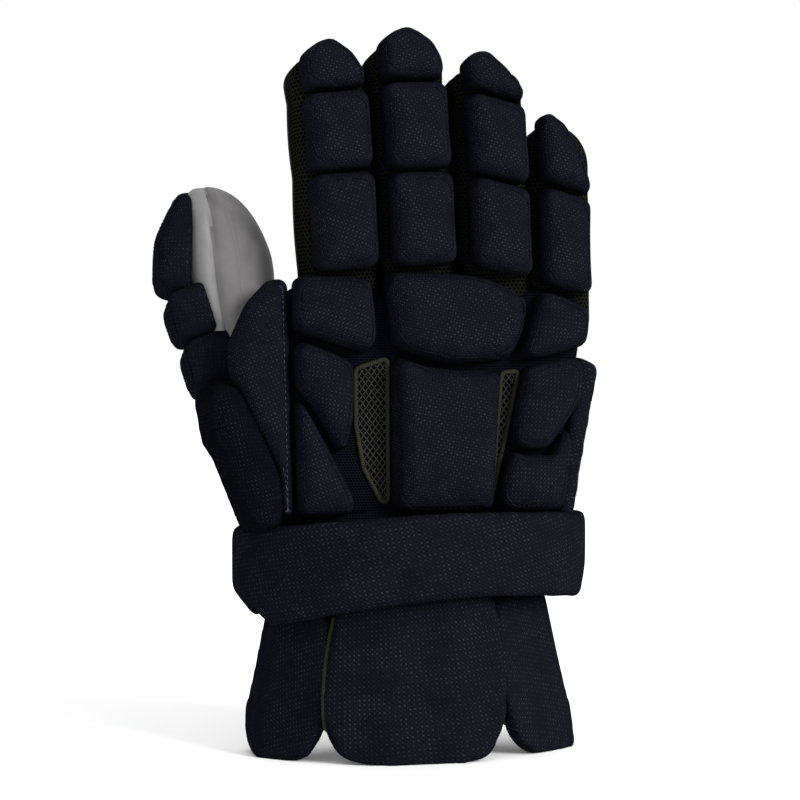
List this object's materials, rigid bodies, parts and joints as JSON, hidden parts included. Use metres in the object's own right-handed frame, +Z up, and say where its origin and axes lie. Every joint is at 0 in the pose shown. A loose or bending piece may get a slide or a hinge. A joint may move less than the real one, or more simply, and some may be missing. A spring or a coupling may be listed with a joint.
{
  "type": "hockey glove",
  "caption": "Padded right-hand hockey glove: foam rolls over jointed fingers and thumb, leather palm, and a flared three-flap cuff with a wrist strap.",
  "frame": {"origin": "centre of the bounding box in X and Y, on the floor that the cuff flaps stand on", "axes": "+Z up along the fingers, -Y out of the back of the hand, +Y out of the palm, -X towards the thumb"},
  "size_m": [0.1976, 0.1062, 0.3264],
  "materials": {
    "shell_weave": "woven nylon over foam",
    "finger_knit": "open knit",
    "liner_knit": "knit",
    "vent_mesh": "open mesh",
    "lining": "brushed knit",
    "palm_leather": "synthetic suede",
    "thumb_leather": "smooth synthetic leather",
    "insert_plastic": "matt",
    "stripe": "flexible print",
    "hook_tape": "hook tape",
    "loop_tape": "loop tape",
    "strap_webbing": "webbing"
  },
  "bodies": {
    "cuff": {"wrist_band": "shell_weave", "cuff_liner": "lining", "strap_loop_patch": "loop_tape", "strap_anchor_tab": "strap_webbing"},
    "hand": {"back_liner": "liner_knit", "centre_knuckle_pad": "shell_weave", "centre_metacarpal_insert": "insert_plastic", "centre_metacarpal_pad": "shell_weave", "edge_guard": "shell_weave", "edge_stripe": "stripe", "index_knuckle_pad": "shell_weave", "index_metacarpal_pad": "shell_weave", "index_wrist_pad": "shell_weave", "little_knuckle_pad": "shell_weave", "outer_metacarpal_pad": "shell_weave", "outer_wrist_pad": "shell_weave", "palm_leather": "palm_leather", "palm_patch": "palm_leather", "thumb_side_pad": "shell_weave", "thumb_web": "shell_weave", "vent_mesh": "vent_mesh"},
    "thumb_base": {"thumb_base_sleeve": "palm_leather", "thumb_base_lock_plate": "insert_plastic", "thumb_base_roll": "shell_weave", "thumb_middle_roll": "shell_weave"},
    "thumb_tip": {"thumb_tip_sleeve": "thumb_leather", "thumb_tip_cap": "shell_weave"},
    "wrist_strap": {"wrist_strap": "strap_webbing", "strap_hook_patch": "hook_tape"},
    "index_base": {"index_base_insert": "insert_plastic", "index_base_roll": "shell_weave", "index_base_sleeve": "finger_knit"},
    "index_middle": {"index_middle_insert": "insert_plastic", "index_middle_roll": "shell_weave", "index_middle_sleeve": "finger_knit"},
    "index_tip": {"index_tip_roll": "shell_weave", "index_tip_sleeve": "finger_knit"},
    "middle_base": {"middle_base_insert": "insert_plastic", "middle_base_roll": "shell_weave", "middle_base_sleeve": "finger_knit"},
    "middle_middle": {"middle_middle_insert": "insert_plastic", "middle_middle_roll": "shell_weave", "middle_middle_sleeve": "finger_knit"},
    "middle_tip": {"middle_tip_roll": "shell_weave", "middle_tip_sleeve": "finger_knit"},
    "ring_base": {"ring_base_insert": "insert_plastic", "ring_base_roll": "shell_weave", "ring_base_sleeve": "finger_knit"},
    "ring_middle": {"ring_middle_insert": "insert_plastic", "ring_middle_roll": "shell_weave", "ring_middle_sleeve": "finger_knit"},
    "ring_tip": {"ring_tip_roll": "shell_weave", "ring_tip_sleeve": "finger_knit"},
    "little_base": {"little_base_roll": "shell_weave", "little_base_sleeve": "finger_knit"},
    "little_tip": {"little_tip_roll": "shell_weave", "little_tip_sleeve": "finger_knit"},
    "cuff_flap_centre": {"cuff_flap_centre": "shell_weave"},
    "cuff_flap_thumb": {"cuff_flap_thumb": "shell_weave"},
    "cuff_flap_outer": {"cuff_flap_outer": "shell_weave"}
  },
  "joints": [
    {"name": "wrist_bend", "type": "hinge", "parent": "cuff", "child": "hand", "pos_m": [0.01274, -0.01407, 0.1025], "axis": [-1, 0, 0], "range_deg": [-6, 15], "stiffness_Nm_per_rad": 2.5},
    {"name": "index_base_bend", "type": "hinge", "parent": "hand", "child": "index_base", "pos_m": [-0.02046, 0.00293, 0.218], "axis": [-0.999, 0, -0.0454], "range_deg": [-6, 78], "stiffness_Nm_per_rad": 0.12},
    {"name": "index_middle_bend", "type": "hinge", "parent": "index_base", "child": "index_middle", "pos_m": [-0.02238, 0.00516, 0.2604], "axis": [-0.999, 0, -0.0454], "range_deg": [-6, 84], "stiffness_Nm_per_rad": 0.12},
    {"name": "index_tip_bend", "type": "hinge", "parent": "index_middle", "child": "index_tip", "pos_m": [-0.02393, 0.00996, 0.29453], "axis": [-0.999, 0, -0.0454], "range_deg": [-6, 50], "stiffness_Nm_per_rad": 0.12},
    {"name": "middle_base_bend", "type": "hinge", "parent": "hand", "child": "middle_base", "pos_m": [0.01515, 0.00243, 0.22], "axis": [-0.9992, 0, -0.0401], "range_deg": [-6, 78], "stiffness_Nm_per_rad": 0.12},
    {"name": "middle_middle_bend", "type": "hinge", "parent": "middle_base", "child": "middle_middle", "pos_m": [0.0135, 0.00458, 0.26091], "axis": [-0.9992, 0, -0.0401], "range_deg": [-6, 84], "stiffness_Nm_per_rad": 0.12},
    {"name": "middle_tip_bend", "type": "hinge", "parent": "middle_middle", "child": "middle_tip", "pos_m": [0.01197, 0.00994, 0.29901], "axis": [-0.9992, 0, -0.0401], "range_deg": [-6, 50], "stiffness_Nm_per_rad": 0.12},
    {"name": "ring_base_bend", "type": "hinge", "parent": "hand", "child": "ring_base", "pos_m": [0.05155, 0.00293, 0.2165], "axis": [-0.9998, 0, -0.0209], "range_deg": [-6, 78], "stiffness_Nm_per_rad": 0.12},
    {"name": "ring_middle_bend", "type": "hinge", "parent": "ring_base", "child": "ring_middle", "pos_m": [0.05071, 0.00503, 0.25644], "axis": [-0.9998, 0, -0.0209], "range_deg": [-6, 84], "stiffness_Nm_per_rad": 0.12},
    {"name": "ring_tip_bend", "type": "hinge", "parent": "ring_middle", "child": "ring_tip", "pos_m": [0.04996, 0.01004, 0.29208], "axis": [-0.9998, 0, -0.0209], "range_deg": [-6, 50], "stiffness_Nm_per_rad": 0.12},
    {"name": "little_base_bend", "type": "hinge", "parent": "hand", "child": "little_base", "pos_m": [0.08314, 0.00593, 0.208], "axis": [-1, 0, 0], "range_deg": [-6, 70], "stiffness_Nm_per_rad": 0.12},
    {"name": "little_tip_bend", "type": "hinge", "parent": "little_base", "child": "little_tip", "pos_m": [0.08314, 0.00823, 0.25194], "axis": [-1, 0, 0], "range_deg": [-6, 70], "stiffness_Nm_per_rad": 0.12},
    {"name": "thumb_base_swing", "type": "hinge", "parent": "hand", "child": "thumb_base", "pos_m": [-0.07077, 0.01289, 0.16556], "axis": [0.0674, 0.9637, -0.2583], "range_deg": [-12, 0], "stiffness_Nm_per_rad": 0.4},
    {"name": "thumb_tip_bend", "type": "hinge", "parent": "thumb_base", "child": "thumb_tip", "pos_m": [-0.07717, 0.02491, 0.20874], "axis": [0.0674, 0.9637, -0.2583], "range_deg": [0, 30], "stiffness_Nm_per_rad": 0.25},
    {"name": "wrist_strap_open", "type": "hinge", "parent": "cuff", "child": "wrist_strap", "pos_m": [0.06795, 0.02693, 0.0825], "axis": [0, 0, -1], "range_deg": [0, 110]},
    {"name": "cuff_flap_centre_lift", "type": "hinge", "parent": "cuff", "child": "cuff_flap_centre", "pos_m": [0.00891, -0.03098, 0.0745], "axis": [-0.9985, 0.0545, 0], "range_deg": [-2, 10], "stiffness_Nm_per_rad": 3},
    {"name": "cuff_flap_thumb_lift", "type": "hinge", "parent": "cuff", "child": "cuff_flap_thumb", "pos_m": [-0.0334, -0.01661, 0.0685], "axis": [-0.7071, 0.7071, 0], "range_deg": [-2, 10], "stiffness_Nm_per_rad": 3},
    {"name": "cuff_flap_outer_lift", "type": "hinge", "parent": "cuff", "child": "cuff_flap_outer", "pos_m": [0.05424, -0.01748, 0.0705], "axis": [-0.82, -0.5724, 0], "range_deg": [-2, 10], "stiffness_Nm_per_rad": 3}
  ]
}
